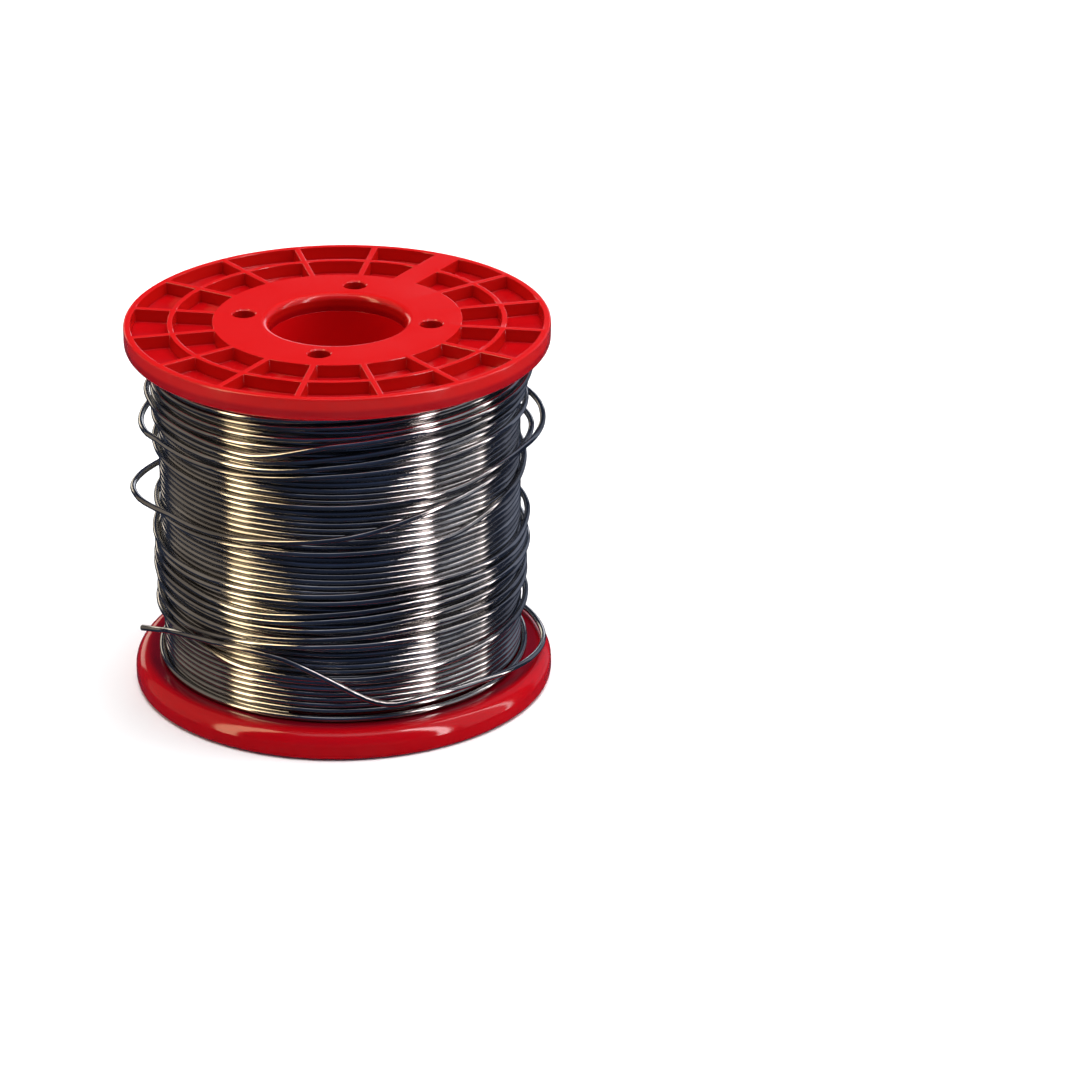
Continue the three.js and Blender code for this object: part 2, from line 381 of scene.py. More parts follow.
@dataclass(frozen=True)
class MouldedPolystyrene:
    """Injection-moulded high-impact polystyrene.

    It is evenly coloured right through. A polished tool gives it a gloss that a faint orange peel breaks up,
    and handling dulls it in soft patches and hairline scuffs. Its colour is painted paler on the highest
    faces and darker on the lower ones, as painted light on the tops and painted shade in the pockets and down
    the sides, and the face beside the winding is painted darker still, as painted shade from the winding.
    """

    name: str
    colour: str
    shade: str
    # The paler colour for the highest faces, and the heights over which the colour turns to it from the
    # darker one: painted light on the tops, painted shade in the pockets and down the sides.
    painted_lit_colour: str
    painted_lit_from_mm: float = 0.0
    painted_lit_to_mm: float = 1.0
    # Painted shade: a dark colour laid on the face beside the winding, where the winding and the other flange
    # shade it.
    painted_shade_colour: str = "3c0618"
    painted_shade_most: float = 0.74
    painted_shade_least_share: float = 0.8
    # A moulding away from the winding has no painted shade: its heights are never reached.
    painted_shade_clear_mm: float = 100.0
    painted_shade_face_mm: float = 101.0
    painted_shade_radii_mm: Pair = (33.9, 31.9)
    roughness: Pair = (0.14, 0.2)
    patch_mm: float = 9.0
    patch_range: Pair = (0.35, 0.7)
    peel_mm: float = 1.3
    peel_depth_mm: float = 0.009
    # Real hairlines are finer, and are drawn this wide so that they show.
    scuff_mm: float = 0.3
    scuff_roughness: float = 0.06
    ior: float = 1.59
    specular: float = 0.36

    def material(self) -> bpy.types.Material:
        """Build the material.

        Returns:
            The finished material.
        """
        material, tree = new_material(self.name)
        place = add_node(tree, "TexCoord").outputs["Object"]
        patch = add_node(
            tree, "TexNoise", {"Scale": per_mm(self.patch_mm), "Detail": 3.0}, {"Vector": place}
        ).outputs["Fac"]
        sunk = ramp(tree, patch, *self.patch_range, (srgb(self.colour), srgb(self.shade)))
        level = add_node(tree, "SeparateXYZ", links={"Vector": place}).outputs["Z"]
        # Painted light and shade by height: the highest faces paler, the lower ones darker.
        proud = add_node(
            tree,
            "MapRange",
            {"From Min": self.painted_lit_from_mm * MM, "From Max": self.painted_lit_to_mm * MM},
            {"Value": level},
        ).outputs["Result"]
        colour = add_node(
            tree, "Mix", {"data_type": "RGBA", 7: srgb(self.painted_lit_colour)}, {0: proud, 6: sunk}
        ).outputs[2]
        colour = self._painted_winding_shade(tree, place, level, patch, colour)
        scuffs = add_node(
            tree,
            "TexNoise",
            {"Scale": per_mm(self.scuff_mm), "Detail": 2.0, "Distortion": 1.5},
            {"Vector": place},
        ).outputs["Fac"]
        smooth_rough, worn_rough = (rough - self.scuff_roughness / 2 for rough in self.roughness)
        rough = add_node(
            tree,
            "Math",
            {"operation": "MULTIPLY_ADD", 1: self.scuff_roughness, 2: 0.0},
            {0: scuffs, 2: spread(tree, patch, smooth_rough, worn_rough)},
        ).outputs["Value"]
        peel = add_node(
            tree, "TexNoise", {"Scale": per_mm(self.peel_mm), "Detail": 1.0}, {"Vector": place}
        ).outputs["Fac"]
        bump = add_node(
            tree, "Bump", {"Strength": 1.0, "Distance": self.peel_depth_mm * MM}, {"Height": peel}
        ).outputs["Normal"]
        shader = add_node(
            tree,
            "BsdfPrincipled",
            {"IOR": self.ior, "Specular IOR Level": self.specular},
            {"Base Color": colour, "Roughness": rough, "Normal": bump},
        )
        add_node(tree, "OutputMaterial", links={"Surface": shader.outputs["BSDF"]})
        return material

    def _painted_winding_shade(
        self,
        tree: bpy.types.NodeTree,
        place: Socket,
        level: Socket,
        patch: Socket,
        clean: Socket,
    ) -> Socket:
        """Darken the face beside the winding, as painted shade from the winding.

        Args:
            tree: the material's tree.
            place: the coordinates.
            level: the height.
            patch: the soft patches' noise.
            clean: the colour without the painted shade.

        Returns:
            The colour's socket.
        """
        flat = add_node(tree, "VectorMath", {"operation": "MULTIPLY", 1: (1.0, 1.0, 0.0)}, {0: place})
        away = add_node(
            tree, "VectorMath", {"operation": "LENGTH"}, {0: flat.outputs["Vector"]}
        ).outputs["Value"]
        outer, inner = self.painted_shade_radii_mm
        near = self._faded(tree, away, outer, inner)
        beside = self._faded(tree, level, self.painted_shade_clear_mm, self.painted_shade_face_mm)
        strength = spread(tree, patch, self.painted_shade_most, self.painted_shade_most * self.painted_shade_least_share)
        for mask in (near, beside):
            strength = add_node(
                tree, "Math", {"operation": "MULTIPLY"}, {0: strength, 1: mask}
            ).outputs["Value"]
        mixed = add_node(tree, "Mix", {"data_type": "RGBA", 7: srgb(self.painted_shade_colour)}, {0: strength, 6: clean})
        return mixed.outputs[2]

    @staticmethod
    def _faded(tree: bpy.types.NodeTree, value: Socket, start: float, end: float) -> Socket:
        """Rise smoothly from 0 at one distance to 1 at another.

        Args:
            tree: the material's tree.
            value: the distance, in metres.
            start: where the rise begins, in millimetres.
            end: where it ends.

        Returns:
            The risen value's socket.
        """
        settings = {"interpolation_type": "SMOOTHSTEP", "From Min": start * MM, "From Max": end * MM}
        return add_node(tree, "MapRange", settings, {"Value": value}).outputs["Result"]


@dataclass(frozen=True)
class DrawnSolder:
    """Tin and lead solder, drawn to wire through a die.

    Bright bare metal with fine lines along it from the die. Turn by turn it has dulled to a different grey,
    and a thin warm bloom of oxide and flux lies on it in patches.
    """

    name: str = "solder, drawn wire"
    bright: str = "cfcecb"
    dull: str = "8c8c8d"
    bloom: str = "7a746b"
    roughness: Pair = (0.1, 0.17)
    turn_mm: float = 0.9
    turn_range: Pair = (0.34, 0.68)
    along_mm: float = 24.0
    bloom_mm: float = 11.0
    bloom_most: float = 0.45
    # A die leaves finer lines, and these are drawn this wide so that they show.
    line_mm: float = 0.09
    line_depth_mm: float = 0.003
    line_strength: float = 0.6

    def material(self) -> bpy.types.Material:
        """Build the material.

        Returns:
            The finished material.
        """
        material, tree = new_material(self.name)
        place = add_node(tree, "TexCoord").outputs["Object"]
        along = per_mm(self.along_mm)
        turns = self._stretched_noise(tree, place, (along, along, per_mm(self.turn_mm)), 2.0)
        grey = ramp(tree, turns, *self.turn_range, (srgb(self.bright), srgb(self.dull)))
        patches = add_node(
            tree, "TexNoise", {"Scale": per_mm(self.bloom_mm), "Detail": 4.0}, {"Vector": place}
        ).outputs["Fac"]
        amount = spread(tree, patches, 0.0, self.bloom_most)
        colour = add_node(
            tree, "Mix", {"data_type": "RGBA", 7: srgb(self.bloom)}, {0: amount, 6: grey}
        ).outputs[2]
        lines = self._stretched_noise(tree, place, (along, along, per_mm(self.line_mm)), 0.0)
        bump = add_node(
            tree,
            "Bump",
            {"Strength": self.line_strength, "Distance": self.line_depth_mm * MM},
            {"Height": lines},
        ).outputs["Normal"]
        rough = spread(tree, turns, *self.roughness)
        shader = add_node(
            tree,
            "BsdfPrincipled",
            {"Metallic": 1.0},
            {"Base Color": colour, "Roughness": rough, "Normal": bump},
        )
        add_node(tree, "OutputMaterial", links={"Surface": shader.outputs["BSDF"]})
        return material

    @staticmethod
    def _stretched_noise(
        tree: bpy.types.NodeTree,
        place: Socket,
        scale: tuple[float, float, float],
        detail: float,
    ) -> Socket:
        """Add noise that is drawn out round the reel.

        Args:
            tree: the material's tree.
            place: the coordinates.
            scale: features per metre along X, Y and Z.
            detail: the noise's detail.

        Returns:
            The noise value's socket.
        """
        stretched = add_node(tree, "Mapping", {"Scale": scale}, {"Vector": place})
        noise = add_node(
            tree, "TexNoise", {"Scale": 1.0, "Detail": detail}, {"Vector": stretched.outputs["Vector"]}
        )
        return noise.outputs["Fac"]


# ---------------------------------------------------------------- camera and studio


@dataclass
class StudioCamera:
    """A long lens that looks down a little on the reel, which stands left of the middle."""

    elevation: float = 23.2
    distance: float = 0.767
    lens_mm: float = 153.7
    sensor_mm: float = 36.0
    nearest: float = 0.05
    aim_height: float = 0.035
    roll: float = -1.15
    pan: float = -2.477
    tilt: float = -0.762

    def build(self) -> None:
        """Add the camera and make it the scene's."""
        data = bpy.data.cameras.new("studio_camera")
        data.lens = self.lens_mm
        data.sensor_width = self.sensor_mm
        data.clip_start = self.nearest
        camera = bpy.data.objects.new("studio_camera", data)
        bpy.context.scene.collection.objects.link(camera)
        up = math.radians(self.elevation)
        back = Vector((0, -math.cos(up), math.sin(up)))
        place = Vector((0, 0, self.aim_height)) + back * self.distance
        turn = Matrix.Rotation(math.radians(90 - self.elevation), 4, "X")
        for degrees, axis in ((self.roll, "Z"), (self.tilt, "X"), (self.pan, "Y")):
            turn = turn @ Matrix.Rotation(math.radians(degrees), 4, axis)
        camera.matrix_world = Matrix.Translation(place) @ turn
        bpy.context.scene.camera = camera
        LOG.info("camera at %s", [round(v, 3) for v in place])


@dataclass(frozen=True)
class SoftBox:
    """One rectangular studio light or reflector, which faces the reel.

    The strips and panels are there for their reflections in the wire and the plastic. The fills and the
    overhead light aren't mirrored, and only light the surfaces.
    """

    name: str
    azimuth: float
    elevation: float
    distance: float
    width: float
    height: float
    radiance: float
    colour: str = "ffffff"
    mirrored: bool = True
    lights_matt: bool = True

    def build(self, target: Vector) -> None:
        """Add the light.

        Args:
            target: the point that it faces.
        """
        data = bpy.data.lights.new(self.name, "AREA")
        data.shape = "RECTANGLE"
        data.size = self.width
        data.size_y = self.height
        data.energy = self.radiance * math.pi * self.width * self.height
        data.color = srgb(self.colour)[:3]
        light = bpy.data.objects.new(self.name, data)
        bpy.context.scene.collection.objects.link(light)
        up = math.radians(self.elevation)
        flat = polar(self.azimuth, self.distance * math.cos(up) / MM)
        place = target + flat + Vector((0, 0, self.distance * math.sin(up)))
        light.visible_camera = False
        light.visible_glossy = self.mirrored
        light.visible_diffuse = self.lights_matt
        light.location = place
        light.rotation_mode = "QUATERNION"
        light.rotation_quaternion = (place - target).to_track_quat("Z", "Y")


@dataclass
class Studio:
    """A white room: a pale floor, tall strip lights either side and a soft box overhead."""

    aim: tuple[float, float, float] = (0, 0, 0.03)
    floor_size: float = 2.8
    floor_cuts: int = 8
    floor_paints: tuple[str, str] = ("fbfbfb", "fdfdfd")
    floor_grain: float = 40.0
    floor_roughness: float = 0.9
    white: str = "ffffff"
    dusk: str = "2a3244"
    boxes: tuple[SoftBox, ...] = (
        SoftBox("warm_strip", -65, 24, 1.1, 0.29, 1.9, 6.0, "ffe2b4", lights_matt=False),
        SoftBox("right_strip", 52.5, 24, 1.1, 0.14, 1.9, 12.0, "fff0f2", lights_matt=False),
        SoftBox("side_strip", 96, 24, 1.1, 0.08, 1.9, 6.0, "fff4f4"),
        SoftBox("front_panel", 0, 30, 1.3, 1.5, 1.6, 0.05, "80a8ff"),
        SoftBox("right_panel", 78, 24, 1.2, 0.7, 1.9, 0.42, "f4f6ff"),
        SoftBox("back_right_panel", 135, 24, 1.2, 0.7, 1.9, 0.26, "dfe6ff"),
        SoftBox("left_panel", -105, 24, 1.2, 1.2, 1.9, 0.25, "ffe9c8"),
        SoftBox("back_left_strip", -155, 8, 1.1, 0.5, 0.28, 1.6, "fff2dd"),
        SoftBox("back_strip", 168, 8, 1.1, 0.5, 0.28, 1.4, "eef2ff"),
        SoftBox("front_top_panel", 5, 69, 1.3, 1.0, 0.4, 0.9, "f4f6ff"),
        SoftBox("left_fill", -100, 25, 1.2, 0.8, 0.8, 1.8, "fff6ea", mirrored=False),
        SoftBox("right_fill", 95, 25, 1.2, 0.8, 0.8, 2.2, "ffffff", mirrored=False),
        SoftBox("overhead", 125, 84, 1.3, 1.4, 1.4, 5.1, "ffffff", mirrored=False),
    )

    def build(self) -> None:
        """Add the floor, the lights and the world."""
        scene = bpy.context.scene
        scene.view_settings.view_transform = "Standard"
        deselect()
        cuts = self.floor_cuts
        bpy.ops.mesh.primitive_grid_add(x_subdivisions=cuts, y_subdivisions=cuts, size=self.floor_size)
        floor = bpy.context.object
        floor.name = "studio_floor"
        floor.data.materials.append(self._floor_paint())
        floor.visible_glossy = False
        for box in self.boxes:
            box.build(Vector(self.aim))
        self._world()
        LOG.info("studio with %d lights", len(self.boxes))

    def _floor_paint(self) -> bpy.types.Material:
        """Make the floor's matt white paint.

        Returns:
            The finished material.
        """
        material, tree = new_material("matt white floor paint")
        place = add_node(tree, "TexCoord").outputs["Object"]
        grain = add_node(tree, "TexNoise", {"Scale": self.floor_grain}, {"Vector": place}).outputs["Fac"]
        low, high = (srgb(paint) for paint in self.floor_paints)
        colour = ramp(tree, grain, NOISE_LOW, NOISE_HIGH, (low, high))
        shader = add_node(
            tree, "BsdfPrincipled", {"Roughness": self.floor_roughness}, {"Base Color": colour}
        )
        add_node(tree, "OutputMaterial", links={"Surface": shader.outputs["BSDF"]})
        return material

    def _world(self) -> None:
        """Set a world that looks white and lights the reel like a dim room."""
        world = bpy.data.worlds.new("studio_world")
        world.use_nodes = True
        tree = world.node_tree
        tree.nodes.clear()
        seen = add_node(tree, "Background", {"Color": srgb(self.white), "Strength": 1.0})
        dim = add_node(tree, "Background", {"Color": srgb(self.dusk), "Strength": 1.0})
        ray = add_node(tree, "LightPath").outputs["Is Camera Ray"]
        mixed = add_node(
            tree,
            "MixShader",
            links={0: ray, 1: dim.outputs["Background"], 2: seen.outputs["Background"]},
        )
        add_node(tree, "OutputWorld", links={"Surface": mixed.outputs["Shader"]})
        bpy.context.scene.world = world


# ---------------------------------------------------------------- the wire


def eased(x: float) -> float:
    """Rise smoothly from 0 at 0 to 1 at 1."""
    x = min(max(x, 0.0), 1.0)
    return x * x * (3 - 2 * x)


def flowing(knots: list[Pair], x: float) -> float:
    """Read a smooth curve through knots, which never swings past them.

    Args:
        knots: places and values, in order of place.
        x: where to read.

    Returns:
        The value there.
    """
    last = len(knots) - 1
    i = 0
    while i < last - 1 and knots[i + 1][0] < x:
        i += 1

    def rise(k: int) -> float:
        """Give the straight slope from knot k to the next."""
        return (knots[k + 1][1] - knots[k][1]) / (knots[k + 1][0] - knots[k][0])

    def slope(k: int) -> float:
        """Give the curve's slope at a knot, level where the values turn back.

        Args:
            k: the knot's number.

        Returns:
            The slope.
        """
        if k in (0, last):
            return rise(min(k, last - 1))
        before, after = rise(k - 1), rise(k)
        return 0.0 if before * after <= 0 else 2 * before * after / (before + after)

    (x0, y0), (x1, y1) = knots[i], knots[i + 1]
    width = x1 - x0
    t = min(max((x - x0) / width, 0.0), 1.0)
    curve = (2 * t**3 - 3 * t**2 + 1) * y0 + (3 * t**2 - 2 * t**3) * y1
    return curve + width * ((t**3 - 2 * t**2 + t) * slope(i) + (t**3 - t**2) * slope(i + 1))


def wire_mesh(name: str, points: Sequence[Vector], diameter: float, fineness: int) -> bpy.types.Object:
    """Draw wire along a line of points.

    Args:
        name: the new object's name.
        points: the centre line, in metres.
        diameter: the wire's diameter, in millimetres.
        fineness: half the sides of its section, less two.

    Returns:
        The wire as a closed mesh.
    """
    deselect()
    data = bpy.data.curves.new(name, "CURVE")
    data.dimensions = "3D"
    data.bevel_depth = diameter / 2 * MM
    data.bevel_resolution = fineness
    data.use_fill_caps = True
    spline = data.splines.new("POLY")
    spline.points.add(len(points) - 1)
    for spot, point in zip(spline.points, points):
        spot.co = (*point, 1.0)
    wire = bpy.data.objects.new(name, data)
    bpy.context.scene.collection.objects.link(wire)
    activate(wire)
    bpy.ops.object.convert(target="MESH")
    wire = bpy.context.object
    wire.name = name
    bpy.ops.object.mode_set(mode="EDIT")
    bpy.ops.mesh.select_all(action="SELECT")
    bpy.ops.mesh.remove_doubles(threshold=WIRE_MERGE_DISTANCE)
    bpy.ops.mesh.normals_make_consistent(inside=False)
    bpy.ops.object.mode_set(mode="OBJECT")
    bpy.ops.object.shade_smooth_by_angle(angle=math.radians(50))
    return wire


@dataclass
class Wire:
    """The solder wire's sizes, and where its turns may lie."""

    diameter: float = 1.0
    tight_radius: float = 30.0
    low: float = 5.0
    high: float = 59.5
    turn_points: int = 120
    fineness: int = 4

    @property
    def tight_centre(self) -> float:
        """The distance from the axis to the centre of a tight turn."""
        return self.tight_radius - self.diameter / 2


@dataclass
class LooseWire:
    """The outer turns, which run down from the last tight turn to the cut end.

    Each row of heights is one turn, read at the stations: from the back, round the right, the front and the
    left. The stretches that stand far off the winding have routes of their own, which the turns run into: a
    route's points are a direction, how far out the wire stands and its height. A smaller bulge is a turn, its
    direction, how far out it stands and half the degrees that it spans.
    """

    wire: Wire
    stations: tuple[float, ...] = (180, 120, 60, 30, 0, -30, -60, -120)
    heights: tuple[tuple[float, ...], ...] = (
        (58.0, 58.7, 58.9, 58.7, 58.2, 57.6, 57.4, 57.2),
        (56.8, 57.5, 57.8, 57.4, 56.8, 56.2, 55.9, 55.6),
        (55.0, 55.6, 56.3, 55.9, 55.0, 54.4, 54.3, 53.9),
        (53.6, 54.0, 54.8, 54.3, 53.4, 52.7, 52.6, 52.4),
        (55.3, 56.0, 55.5, 55.3, 54.3, 51.2, 51.4, 51.0),
        (52.2, 52.7, 53.5, 52.9, 51.6, 49.9, 50.2, 49.8),
        (50.8, 51.3, 51.9, 51.3, 50.1, 48.6, 48.7, 48.4),
        (49.4, 49.6, 49.6, 49.1, 48.5, 47.2, 46.9, 46.7),
        (46.9, 46.0, 44.4, 43.4, 43.0, 43.0, 43.4, 43.8),
        (44.4, 44.1, 42.8, 41.0, 37.8, 36.1, 35.4, 34.0),
        (36.6, 40.2, 37.6, 35.1, 34.9, 34.7, 33.9, 32.6),
        (31.6, 29.6, 27.9, 28.2, 27.5, 27.1, 27.1, 27.7),
        (27.4, 26.6, 26.4, 26.8, 26.3, 25.9, 25.8, 26.3),
        (26.2, 25.5, 25.3, 25.2, 24.4, 23.2, 24.2, 25.0),
        (24.8, 24.4, 24.2, 24.0, 23.2, 22.0, 22.6, 23.2),
        (22.8, 23.0, 22.7, 22.4, 21.4, 20.8, 21.2, 21.6),
        (21.6, 21.2, 20.3, 20.8, 20.2, 19.3, 19.6, 20.3),
        (20.0, 19.4, 18.5, 18.8, 18.9, 18.1, 16.8, 17.2),
        (16.4, 15.4, 14.2, 13.2, 12.6, 12.9, 14.8, 14.0),
        (10.6, 6.6, 5.7, 5.6, 5.6, 5.6, 5.7, 5.9),
        (6.2,),
    )
    upper_left: Route = (
        (-58, 0.8, 46.9), (-70, 1.1, 46.7), (-80, 2.3, 46.5), (-90, 2.7, 46.4),
        (-100, 2.6, 46.3), (-112, 2.1, 46.4), (-125, 1.3, 46.7), (-138, 0.8, 47),
    )
    mid_left: Route = (
        (-50, 0.8, 35.3), (-62, 1.1, 35.2), (-71, 2.5, 35.1), (-79, 3.9, 35.1), (-88, 4.4, 34.9),
        (-97, 3.6, 34.7), (-107, 2.3, 34.4), (-117, 1.3, 34.1), (-130, 0.8, 33.9),
    )
    upper_right: Route = (
        (140, 0.8, 46.6), (125, 2.2, 46.1), (110, 3.5, 45.8), (98, 3.8, 45.7), (88, 3.6, 45.3),
        (78, 2.8, 44.9), (67, 1.5, 44.5), (54, 1, 44.3), (40, 0.9, 43.6), (24, 0.8, 43.2),
    )
    tail: Route = (
        (145, 0.8, 6.6), (132, 1.2, 6.2), (116, 2.2, 6), (100, 3.2, 6), (84, 3.7, 6.4), (68, 3.4, 7.2),
        (54, 2.8, 8), (42, 2.4, 8.6), (32, 2.2, 8.7), (24, 2, 8.5), (15, 2, 8.2), (9, 1.9, 8.9),
        (3, 1.8, 10.6), (-4, 1.6, 12.8), (-12, 1.2, 15), (-20, 0.9, 16.5), (-32, 0.8, 17),
        (-45, 0.8, 16.4), (-57, 0.9, 15.2), (-66, 1.2, 13.8), (-72, 2, 12.6), (-77, 3, 11.7),
        (-80, 4, 11.2),
    )
    bulges: tuple[tuple[int, float, float, float], ...] = (
        (9, 96, 1.5, 26), (11, 99, 0.6, 22), (4, -98, 0.8, 20), (16, -100, 0.8, 18),
        (5, 160, 1.5, 24), (13, 170, 1.6, 26), (17, -150, 1.3, 22),
    )
    least_off: float = 0.4
    slack: float = 0.7
    slack_waves: Pair = (0.43, 1.7)
    slack_phase: float = 0.8
    route_clear: float = 12.0
    upper_left_turn: int = 7
    upper_right_turn: int = 8
    mid_left_turn: int = 9
    tail_turn: int = 20
    ease_points: int = 7
    climb_degrees: float = 25.0
    nodes: tuple[str, ...] = (
        "loose_turn_upper_left",
        "loose_turn_mid_left",
        "loose_turn_upper_right",
        "wire_tail",
    )
    points: list[Vector] = field(default_factory=list)

    def build(self, material: bpy.types.Material) -> None:
        """Args:
            material: the solder.
        """
        routes = self._routes()
        heights, standoffs = self._knots(routes)
        step = 360 / self.wire.turn_points
        count = int(heights[-1][0] / step)
        travels = [i * step for i in range(count + 1)] + [heights[-1][0]]
        levels = [flowing(heights, travel) for travel in travels]
        offs = [self._standoff(standoffs, travel) for travel in travels]
        radii = self._stack(levels, travels, offs)
        self.points = [polar(180 - t, r, z) for t, r, z in zip(travels, radii, levels)]
        piece = wire_mesh("solder_loose_turns", self.points, self.wire.diameter, self.wire.fineness)
        finish_piece(piece, material, self.nodes)

    def _routes(self) -> list[list[tuple[float, float, float]]]:
        """Turn the routes' directions into how far round the wire has come.

        Returns:
            Each route's points, as degrees from the exit, stand-off and height.
        """
        stretches = (
            (self.upper_left_turn, self.upper_left),
            (self.upper_right_turn, self.upper_right),
            (self.mid_left_turn, self.mid_left),
            (self.tail_turn, self.tail),
        )
        return [[(turn * 360 + 180 - a, out, z) for a, out, z in route] for turn, route in stretches]

    def _knots(
        self, routes: list[list[tuple[float, float, float]]]
    ) -> tuple[list[Pair], list[list[Pair]]]:
        """Merge the turns' heights with the routes.

        Args:
            routes: the stand-off stretches.

        Returns:
            The knots of height, and the knots of stand-off of each route.
        """
        clear = self.route_clear
        knots = []
        for turn, row in enumerate(self.heights):
            for station, height in zip(self.stations, row):
                travel = turn * 360 + 180 - station
                if not any(r[0][0] - clear < travel < r[-1][0] + clear for r in routes):
                    knots.append((travel, height))
        for route in routes:
            knots += [(travel, height) for travel, _, height in route]
        standoffs = [[(travel, out) for travel, out, _ in route] for route in routes]
        return sorted(knots), standoffs

    def _standoff(self, standoffs: list[list[Pair]], travel: float) -> float:
        """Read how far the wire's routes, bulges and slack hold it off the winding at one place.

        Args:
            standoffs: the knots of stand-off of each route.
            travel: how far round the wire has come, in degrees.

        Returns:
            How far its centre stands off, in millimetres.
        """
        for knots in standoffs:
            if knots[0][0] <= travel <= knots[-1][0]:
                return flowing(knots, travel)
        turned = math.radians(travel)
        slow, fast = (0.5 + 0.5 * math.sin(turned * rate + self.slack_phase) for rate in self.slack_waves)
        off = self.least_off + self.slack * slow * fast
        for turn, direction, out, half in self.bulges:
            away = abs(travel - (turn * 360 + 180 - direction)) / half
            if away < 1:
                off += out * eased(1 - away)
        return off

    def _stack(self, levels: list[float], travels: list[float], offs: list[float]) -> list[float]:
        """Find how far out each point lies, so that it clears the strands under it.

        Args:
            levels: the points' heights.
            travels: how far round each point has come, in degrees.
            offs: how far the routes hold each point off.

        Returns:
            Each point's distance from the axis, in millimetres.
        """
        wire = self.wire
        ground = wire.tight_radius + 0.5 * wire.diameter
        around = wire.turn_points
        reach = self.ease_points
        laid: list[list[Pair]] = [[] for _ in range(around)]
        raw: list[float] = []
        radii: list[float] = []
        for i, level in enumerate(levels):
            while len(raw) <= min(i + 2 * reach, len(levels) - 1):
                raw.append(self._resting(laid, len(raw), levels, ground))
            peaks = []
            for k in range(max(0, i - reach), min(len(raw), i + reach + 1)):
                peaks.append(max(raw[max(0, k - reach) : k + reach + 1]))
            radius = max(sum(peaks) / len(peaks), wire.tight_radius + offs[i])
            climb = eased(travels[i] / self.climb_degrees)
            radius = wire.tight_centre + (radius - wire.tight_centre) * climb
            radii.append(radius)
            laid[i % around].append((level, radius))
        return radii

    def _resting(self, laid: list[list[Pair]], i: int, levels: list[float], ground: float) -> float:
        """Find where one point rests on what is already laid near it.

        Args:
            laid: heights and distances of the strands at each place round the reel.
            i: the point's number.
            levels: the points' heights.
            ground: the distance at which the wire rests on the tight turns.

        Returns:
            The distance from the axis at which it rests.
        """
        diameter = self.wire.diameter
        around = self.wire.turn_points
        best = ground
        for side in (-1, 0, 1):
            for height, radius in laid[(i + side) % around]:
                gap = abs(height - levels[i])
                if gap < diameter:
                    best = max(best, radius + math.sqrt(diameter**2 - gap**2))
        return best


@dataclass
class TightTurns:
    """The layer of tight turns that shows between the loose ones, and the layers under it.

    The turns sway up and down and ripple in and out a little, in waves that don't repeat turn by turn. The
    layers under them are one ring with a level rib for each row. The turns come down past its ribs, so they
    lie between them on one side of the reel and sink into them by up to 0.2 mm on the other.
    """

    wire: Wire
    top: float = 58.0
    pitch: float = 1.0
    lowest: float = 0.55
    sway: float = 0.015
    sway_waves: Pair = (2.3, 5.9)
    sway_phase: float = 1.0
    ripple: float = 0.035
    ripple_waves: Pair = (3.7, 0.61)
    ripple_phase: float = 2.0
    nest: float = 0.866
    core_inner: float = 20.3
    core_steps: int = 96
    rib_reach: float = 80.0
    rib_points: int = 4

    def build(self, material: bpy.types.Material) -> None:
        """Wind the outer layer over the core.

        Args:
            material: the solder.
        """
        wire = self.wire
        turns = (self.top - wire.low - self.lowest * wire.diameter) / self.pitch
        count = int(turns * wire.turn_points)
        slow, quick = self.sway_waves
        fine, broad = self.ripple_waves
        points = [polar(180, wire.tight_centre, self.top)]
        for i in range(1, count + 1):
            turn = i / wire.turn_points
            height = self.top - turn * self.pitch
            level = height + self.sway * math.sin(turn * slow)
            level += self.sway * math.sin(turn * quick + self.sway_phase)
            wave = math.sin(turn * fine) * math.sin(turn * broad + self.ripple_phase) - 0.5
            points.append(polar(180 + turn * 360, wire.tight_centre + self.ripple * wave, level))
        layer = wire_mesh("solder_tight_turns", points, wire.diameter, wire.fineness)
        finish_piece(layer, material)
        core = self._core()
        finish_piece(core, material, ("solder_winding",))

    def _core(self) -> bpy.types.Object:
        """Model the layers under the outer one as a ribbed ring.

        Returns:
            The ring.
        """
        wire = self.wire
        radius = wire.diameter / 2
        centre = wire.tight_centre - self.nest * wire.diameter
        reach = self.rib_reach
        rows = int((wire.high - wire.low) / wire.diameter)
        first = (wire.high + wire.low - (rows - 1) * wire.diameter) / 2
        outline: Outline = [(self.core_inner, first - radius)]
        for row in range(rows):
            middle = (centre, first + row * wire.diameter)
            outline += arc(middle, radius, -reach, reach, self.rib_points)
        outline.append((self.core_inner, first + (rows - 1) * wire.diameter + radius))
        core = lathe("solder_inner_layers", outline, self.core_steps)
        activate(core)
        bpy.ops.object.shade_smooth_by_angle(angle=math.radians(60))
        return core


# ---------------------------------------------------------------- the reel


@dataclass
class Reel:
    """Sizes that the mouldings share, read from the frame where it holds them.

    The barrel and the sleeve stand in seats of the flanges' inner faces, with a gap all round.
    """

    bore: float = 11.3
    gap: float = 0.3
    seat: float = 1.0
    barrel: float = 20.0
    barrel_wall: float = 1.6
    sleeve_wall: float = 1.6
    drive_pitch: float = 15.6
    overcut: float = 1.0
    steps: int = 128
    flange: float = field(init=False)
    height: float = field(init=False)
    upper_inner: float = field(init=False)
    lower_top: float = field(init=False)

    def __post_init__(self) -> None:
        """Read the flanges' sizes from the frame."""
        upper_low, upper_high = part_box("upper_flange")
        self.flange = upper_high[0] / MM
        self.height = upper_high[2] / MM
        self.upper_inner = upper_low[2] / MM
        self.lower_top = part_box("lower_flange")[1][2] / MM

    @property
    def barrel_bore(self) -> float:
        """The barrel's inner radius."""
        return self.barrel - self.barrel_wall

    @property
    def sleeve(self) -> float:
        """The sleeve's outer radius."""
        return self.bore + self.sleeve_wall

    @property
    def moulding_low(self) -> float:
        """The height of the barrel's and the sleeve's lower ends."""
        return self.lower_top - self.seat + self.gap

    @property
    def moulding_high(self) -> float:
        """The height of the barrel's and the sleeve's upper ends."""
        return self.upper_inner + self.seat - self.gap


